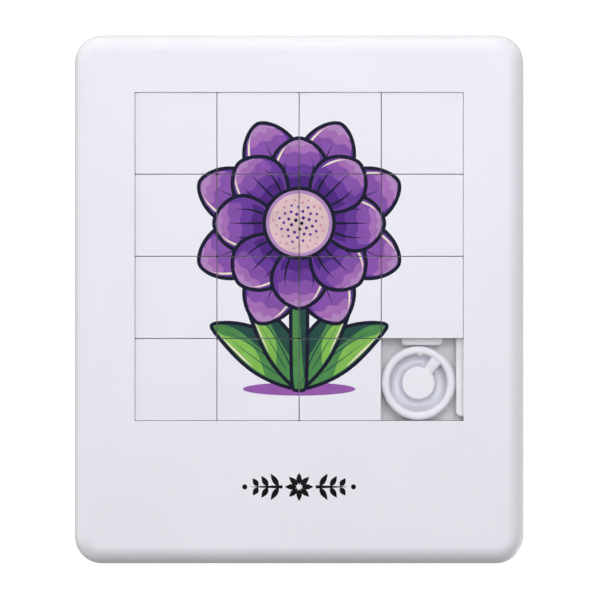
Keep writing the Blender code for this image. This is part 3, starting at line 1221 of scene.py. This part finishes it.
@dataclass
class FlowerPicture:
    """A plain rosette: two even rows of petals round a seeded disc, on a stem with paired leaves."""

    line: float = 0.55
    centre: Point = (0.0, 5.0)
    petals: int = 8
    back_reach: float = 16.0
    front_reach: float = 12.6
    petal_root: float = 3.0
    petal_half_width: float = 3.9
    disc: float = 5.0
    seeds: int = 55
    ground: Point = (0.0, -20.0)
    ground_half: Point = (8.5, 1.0)
    leaf_root: Point = (-0.3, -19.6)
    leaf_tips: tuple[Point, ...] = ((-13.0, -10.5), (-7.5, -7.5))
    leaf_half_widths: Point = (2.7, 2.1)

    def petal(self, blade: Blade) -> list[Layer]:
        """The layers of one petal, from its dark edge to its pale rim."""
        edge = blade.outline()
        layers = [Layer(Ink.LINE, grown(edge, self.line)), Layer(Ink.PURPLE, edge)]
        for ink, start, end in (
            (Ink.VIOLET, 0.0, 0.60),
            (Ink.PLUM, 0.0, 0.42),
            (Ink.LILAC, 0.80, 1.0),
            (Ink.MAUVE, 0.91, 1.0),
        ):
            layers.append(Layer(ink, blade.band(start, end, 0.02, 9.0), edge))
        for side in (-1, 1):
            layers.append(Layer(Ink.VIOLET, blade.strip(0.1, 0.9, side * 0.78, side * 1.05), edge))
        layers.append(Layer(Ink.CREAM, blade.strip(0.55, 0.96, 0.80, 0.90), edge))
        for across in (-0.55, 0.0, 0.55):
            reach = 0.78 - 0.16 * abs(across)
            layers.append(Layer(Ink.LINE, blade.vein(across, 0.2, reach, 0.42), edge))
        return layers

    def row(self, reach: float, turn: float) -> list[Layer]:
        """One even row of petals round the middle.

        Args:
            reach: How far the tips stand from the middle.
            turn: Share of a step that the row is turned by.

        Returns:
            The row's layers.
        """
        layers = []
        for petal in range(self.petals):
            angle = math.pi / 2 + 2 * math.pi * (petal + turn) / self.petals
            along = (math.cos(angle), math.sin(angle))
            root, tip = (
                (self.centre[0] + far * along[0], self.centre[1] + far * along[1])
                for far in (self.petal_root, reach)
            )
            layers += self.petal(Blade(root, tip, self.petal_half_width, 1.25, 0.6))
        return layers

    def leaf(self, blade: Blade) -> list[Layer]:
        """The layers of one leaf: a dark edge, three greens, a pale rim and two veins."""
        edge = blade.outline()
        return [
            Layer(Ink.LINE, grown(edge, self.line)),
            Layer(Ink.LEAF, edge),
            Layer(Ink.FOREST, blade.strip(0.02, 0.95, -0.2, -1.05), edge),
            Layer(Ink.LIME, blade.strip(0.30, 0.97, -0.05, 0.95), edge),
            Layer(Ink.CREAM, blade.strip(0.45, 0.96, 0.78, 0.92), edge),
            Layer(Ink.FOREST, blade.vein(-0.05, 0.12, 0.9, 0.3), edge),
            Layer(Ink.FOREST, blade.vein(0.45, 0.2, 0.8, 0.2), edge),
        ]

    def stem(self) -> list[Layer]:
        """The ground, the stem and two pairs of leaves."""
        layers = [Layer(Ink.GROUND, ellipse(self.ground, self.ground_half))]
        for tip, half_width in zip(self.leaf_tips, self.leaf_half_widths):
            own = self.leaf(Blade(self.leaf_root, tip, half_width, 0.9, 0.8, -0.12))
            layers += own + [layer.mirrored() for layer in own]
        stalk = Blade(self.ground, self.centre, 1.0, 1.0, 0.1)
        edge = stalk.outline()
        return layers + [
            Layer(Ink.LINE, grown(edge, self.line)),
            Layer(Ink.LEAF, edge),
            Layer(Ink.FOREST, stalk.strip(0.0, 1.0, -0.1, -1.05), edge),
        ]

    def middle(self) -> list[Layer]:
        """The seeded disc: pale rings with seeds set in a sunflower's spiral."""
        layers = [
            Layer(ink, ellipse(self.centre, (radius, radius), 60))
            for ink, radius in (
                (Ink.LINE, self.disc + self.line),
                (Ink.MAUVE, self.disc),
                (Ink.BLUSH, self.disc - 0.5),
            )
        ]
        turn = math.pi * (3 - math.sqrt(5))
        spread = self.disc - 0.9
        for seed in range(self.seeds):
            share = math.sqrt((seed + 0.5) / self.seeds)
            angle = seed * turn
            place = (
                self.centre[0] + spread * share * math.cos(angle),
                self.centre[1] + spread * share * math.sin(angle),
            )
            radius = 0.17 + 0.13 * (1 - share)
            ink = (Ink.LINE, Ink.PLUM, Ink.VIOLET, Ink.ROSE)[min(int(share * 4), 3)]
            layers.append(Layer(ink, ellipse(place, (radius, radius), 14)))
        return layers

    def layers(self) -> list[Layer]:
        """Every layer of the picture, in the order that it is laid down."""
        rows = self.row(self.back_reach, 0.5) + self.row(self.front_reach, 0.0)
        return self.stem() + rows + self.middle()


@dataclass
class MarginOrnament:
    """A plain black border ornament for the lower margin: a rosette between sprigs and dots."""

    centre: Point = (0.0, -28.3)
    half_length: float = 8.2
    petals: int = 8
    petal_ends: Point = (0.35, 2.15)
    half_width: float = 0.42
    sprigs: tuple[float, ...] = (3.1, 4.7, 6.2)
    leaf_length: float = 2.0
    leaf_taper: float = 0.35
    stem_width: float = 0.5
    dot: float = 0.38

    def blade(self, base: Point, tip: Point, place: Point, turn: float = 0.0) -> Outline:
        """One petal or leaf, drawn about the origin and then moved to its place."""
        return moved(Blade(base, tip, self.half_width, 0.8).outline(12), place, turn)

    def layers(self) -> list[Layer]:
        """The ornament's layers."""
        root, tip = self.petal_ends
        shapes = []
        for petal in range(self.petals):
            turn = 2 * math.pi * petal / self.petals
            shapes.append(self.blade((root, 0.0), (tip, 0.0), self.centre, turn))
        for side in (-1, 1):
            for index, reach in enumerate(self.sprigs):
                size = self.leaf_length - self.leaf_taper * index
                place = (self.centre[0] + side * reach, self.centre[1])
                for lift in (-1, 1):
                    shapes.append(self.blade((0.0, 0.1 * lift), (side * size * 0.6, lift * size), place))
            stem = [(side * (2.5 + 0.4 * step), 0.0) for step in range(13)]
            shapes.append(moved(brush(stem, self.stem_width, 1.0), self.centre))
            end = (self.centre[0] + side * self.half_length, self.centre[1])
            shapes.append(ellipse(end, (self.dot, self.dot), 20))
        return [Layer(Ink.BLACK, shape) for shape in shapes]


# Laying the print on the mouldings


@dataclass(frozen=True)
class Drape:
    """The printed top of a block, in millimetres: flat, then rolling down over its edge."""

    centre: Point
    core: float
    corner: float
    roll: float
    wrap: float = math.radians(58)
    steps: int = 4

    def fall(self, x: float, y: float) -> float:
        """How far the surface lies below the flat at a point."""
        out_x = max(abs(x - self.centre[0]) - self.core, 0.0)
        out_y = max(abs(y - self.centre[1]) - self.core, 0.0)
        out = min(max(math.hypot(out_x, out_y) - self.corner, 0.0), self.roll)
        return self.roll - math.sqrt(max(self.roll**2 - out**2, 0.0))

    def borders(self) -> list[Outline]:
        """The outlines of equal fall, ending with the print's own edge."""
        angles = [self.wrap * step / self.steps for step in range(self.steps + 1)] if self.roll else [0.0]
        spreads = [self.corner + self.roll * math.sin(angle) for angle in angles]
        return [
            [
                (point.x, point.y)
                for point in rounded_ring(
                    self.centre, (self.core + spread, self.core + spread), spread, 0.0, 4
                )
            ]
            for spread in spreads
        ]


def inside(outline: Outline, spots: np.ndarray) -> np.ndarray:
    """Tells which of some spots lie inside an outline.

    Args:
        outline: The outline's points.
        spots: The spots, one row each.

    Returns:
        True or False for each spot.
    """
    start = np.array(outline)
    end = np.roll(start, -1, axis=0)
    x, y = spots[:, :1], spots[:, 1:]
    spans = (start[:, 1] > y) != (end[:, 1] > y)
    rise = np.where(end[:, 1] == start[:, 1], 1.0, end[:, 1] - start[:, 1])
    crossing = start[:, 0] + (y - start[:, 1]) / rise * (end[:, 0] - start[:, 0])
    return (spans & (x < crossing)).sum(axis=1) % 2 == 1


def overlap(first: Outline, second: Outline) -> bool:
    """True if the boxes round two outlines overlap."""
    one, two = np.array(first), np.array(second)
    return bool((one.min(0) < two.max(0)).all() and (two.min(0) < one.max(0)).all())


@dataclass
class PrintFilm:
    """Lays the layers of a picture over one moulding as a thin closed film of several inks."""

    layers: list[Layer]
    origin: Point
    thickness: float = 0.016 * MM
    sink: float = 0.006 * MM

    def cells(self, drape: Drape) -> tuple[list[Vector], list[list[int]], list[Ink]]:
        """Divides the printed area into triangles of one ink each.

        Args:
            drape: The surface that is printed on.

        Returns:
            The points, the triangles, and each triangle's ink. Bare plastic has no triangle.
        """
        borders = drape.borders()
        shown_layers = [layer for layer in self.layers if overlap(layer.outline, borders[-1])]
        outlines = [layer.outline for layer in shown_layers]
        outlines += [layer.within for layer in shown_layers if layer.within]
        corners: list[Vector] = []
        edges: list[tuple[int, int]] = []
        for outline in [*borders, *{id(outline): outline for outline in outlines}.values()]:
            first, count = len(corners), len(outline)
            corners += [Vector(point) for point in outline]
            edges += [(first + i, first + (i + 1) % count) for i in range(count)]
        points, _, triangles, *_ = geometry.delaunay_2d_cdt(corners, edges, [], 0, 1e-5, False)
        spots = np.array([np.mean([points[i] for i in triangle], axis=0) for triangle in triangles])
        paint = np.full(len(spots), -1)
        for index, layer in enumerate(shown_layers):
            covered = inside(layer.outline, spots)
            if layer.within:
                covered &= inside(layer.within, spots)
            paint[covered] = index
        paint[~inside(borders[-1], spots)] = -1
        kept = [i for i in range(len(triangles)) if paint[i] >= 0]
        return points, [list(triangles[i]) for i in kept], [shown_layers[paint[i]].ink for i in kept]

    def build(self, name: str, drape: Drape, top: float) -> bpy.types.Object | None:
        """Builds the film over one surface.

        Args:
            name: Name of the new object.
            drape: The surface, in the picture's own millimetres.
            top: Height of the bare flat.

        Returns:
            The film, or None where the picture doesn't reach the surface.
        """
        points, triangles, inks = self.cells(drape)
        if not triangles:
            return None
        used = sorted({index for triangle in triangles for index in triangle})
        place = {old: new for new, old in enumerate(used)}
        count = len(used)
        corners = []
        for lift in (self.thickness - self.sink, -self.sink):
            for old in used:
                x, y = points[old]
                height = top + lift - drape.fall(x, y) * MM
                corners.append((self.origin[0] + x * MM, self.origin[1] + y * MM, height))
        faces, kinds = [], []
        palette = sorted(set(inks), key=lambda ink: ink.name)
        rims: dict[tuple[int, int], int] = {}
        for triangle, ink in zip(triangles, inks):
            kind = palette.index(ink)
            upper = [place[old] for old in triangle]
            faces += [upper, [count + index for index in reversed(upper)]]
            kinds += [kind, kind]
            for start, end in zip(upper, upper[1:] + upper[:1]):
                if rims.pop((end, start), None) is None:
                    rims[(start, end)] = kind
        for (start, end), kind in rims.items():
            faces.append([start, count + start, count + end, end])
            kinds.append(kind)
        mesh = bpy.data.meshes.new(name)
        mesh.from_pydata(corners, [], faces)
        mesh.polygons.foreach_set("material_index", kinds)
        for ink in palette:
            mesh.materials.append(ink.value.material())
        mesh.shade_smooth()
        mesh.set_sharp_from_angle(angle=SHARP_ANGLE)
        mesh.update()
        return add_object(name, mesh)


# Studio


@dataclass(frozen=True)
class Lamp:
    """A square softbox that faces the object."""

    name: str
    place: tuple[float, float, float]
    side: float
    power: float

    def hang(self) -> None:
        """Hangs the lamp in its place."""
        data = bpy.data.lights.new(self.name, "AREA")
        data.size = self.side
        data.energy = self.power
        lamp = bpy.data.objects.new(self.name, data)
        lamp.location = self.place
        lamp.rotation_euler = Vector(self.place).to_track_quat("Z", "Y").to_euler()
        bpy.context.scene.collection.objects.link(lamp)


@dataclass
class Studio:
    """A white table under soft keys, with low strips on three sides and one lamp below."""

    lens: float = 240.7
    camera: Point = (0.13 * MM, -0.12 * MM)
    camera_rise: float = 0.605
    fill: float = 0.11
    table: Colour = (0.9, 0.9, 0.9)
    table_glow: float = 0.75
    table_bounce: float = 0.35
    lamps: tuple[Lamp, ...] = (
        Lamp("key", (0.02, 0.05, 0.42), 0.14, 0.415),
        Lamp("soft_key", (0.03, 0.05, 0.30), 0.24, 0.295),
        Lamp("high_top", (0.0, 0.35, 0.35), 0.30, 0.56),
        Lamp("top_strip", (0.0, 0.60, 0.12), 0.40, 1.1),
        Lamp("left_strip", (-0.55, 0.0, 0.12), 0.35, 1.05),
        Lamp("right_strip", (0.55, 0.0, 0.12), 0.35, 0.18),
        Lamp("under", (0.28, -0.20, -0.26), 0.20, 0.9),
    )

    def place_camera(self) -> None:
        """Stands the camera over the face, square to it."""
        data = bpy.data.cameras.new("camera")
        data.lens = self.lens
        camera = bpy.data.objects.new("camera", data)
        camera.location = (*self.camera, CAD_BOX[1][2] + self.camera_rise)
        bpy.context.scene.collection.objects.link(camera)
        bpy.context.scene.camera = camera

    def light(self) -> None:
        """Hangs the lamps in an even, dim surround."""
        for lamp in self.lamps:
            lamp.hang()
        world = bpy.data.worlds.new("surround")
        bpy.context.scene.world = world
        world.use_nodes = True
        background = world.node_tree.nodes["Background"]
        background.inputs["Color"].default_value = (1.0, 1.0, 1.0, 1.0)
        background.inputs["Strength"].default_value = self.fill
        bpy.context.scene.view_settings.view_transform = "Standard"

    def table_material(self) -> bpy.types.Material:
        """White card that is clear from below, lets the lower lamp through and gives even light back."""
        material, board, shader = new_material("white_card")
        shader.inputs["Base Color"].default_value = (*self.table, 1.0)
        shader.inputs["Roughness"].default_value = 0.9
        shader.inputs["Emission Color"].default_value = (1.0, 1.0, 1.0, 1.0)
        shader.inputs["Emission Strength"].default_value = self.table_glow
        bounce = board.add(
            "ShaderNodeEmission", {"Color": (1.0, 1.0, 1.0, 1.0), "Strength": self.table_bounce}
        )
        seen = board.add("ShaderNodeLightPath").outputs["Is Camera Ray"]
        lit = board.add("ShaderNodeMixShader", {0: seen, 1: bounce.outputs[0], 2: shader.outputs[0]})
        behind = board.add("ShaderNodeNewGeometry").outputs["Backfacing"]
        shadow = board.add("ShaderNodeLightPath").outputs["Is Shadow Ray"]
        through = board.add("ShaderNodeMath", {0: behind, 1: shadow}, operation="MAXIMUM")
        clear = board.add("ShaderNodeBsdfTransparent")
        both = board.add(
            "ShaderNodeMixShader", {0: through.outputs[0], 1: lit.outputs[0], 2: clear.outputs[0]}
        )
        output = material.node_tree.nodes["Material Output"]
        board.tree.links.new(both.outputs[0], output.inputs["Surface"])
        return material

    def lay_table(self, half: float = 1.5, drop: float = 0.05 * MM) -> None:
        """Lays the white card under the object."""
        bm = bmesh.new()
        bmesh.ops.create_grid(bm, x_segments=8, y_segments=8, size=half)
        mesh = bpy.data.meshes.new("table")
        bm.to_mesh(mesh)
        bm.free()
        table = add_object("table", mesh)
        table.location.z = -drop
        table.data.materials.append(self.table_material())

    def build(self) -> None:
        """Builds the whole studio."""
        self.place_camera()
        self.light()
        self.lay_table()


# Assembly


def print_tiles(tiles: SlidingTiles, field_plan: Field) -> None:
    """Prints the flower across the tiles and sets each film on its tile's body."""
    film = PrintFilm(FlowerPicture().layers(), field_plan.centre)
    half = (field_plan.pitch - field_plan.gap) / 2 / MM
    corner = (tiles.corner - tiles.top_roll) / MM
    core = half - tiles.corner / MM
    for node in tiles.nodes:
        x, y = field_plan.tile_centre(node)
        middle = ((x - field_plan.centre[0]) / MM, (y - field_plan.centre[1]) / MM)
        drape = Drape(middle, core, corner, tiles.top_roll / MM)
        sheet = film.build(node.replace("tile", "print"), drape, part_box(node)[1].z)
        if sheet:
            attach(sheet, frame["nodes"][node]["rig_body"])
            LOG.info("%s: %d faces", sheet.name, len(sheet.data.polygons))


def print_margin(print_depth: float) -> None:
    """Prints the ornament on the frame's lower margin."""
    ornament = MarginOrnament()
    film = PrintFilm(ornament.layers(), (0.0, 0.0))
    drape = Drape(ornament.centre, ornament.half_length + 1.0, 0.1, 0.0)
    top = CAD_BOX[1][2] - print_depth
    sheet = film.build("margin_print", drape, top)
    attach(sheet, "frame")
    LOG.info("%s: %d faces", sheet.name, len(sheet.data.polygons))


def main() -> None:
    """Builds the studio and the puzzle, and reports each piece."""
    logging.basicConfig(level=logging.INFO, format="%(name)s: %(message)s")
    Studio().build()
    field_plan, tongue, pegs = Field(), Tongue(), Pegs()
    print_depth = PrintFilm.thickness - PrintFilm.sink
    FrameShell(field_plan, tongue, pegs).build(print_depth)
    BackCover(field_plan, pegs).build()
    tiles = SlidingTiles(field_plan, tongue)
    tiles.build()
    LockPlug().build()
    print_tiles(tiles, field_plan)
    print_margin(print_depth)


if __name__ == "__main__":
    main()
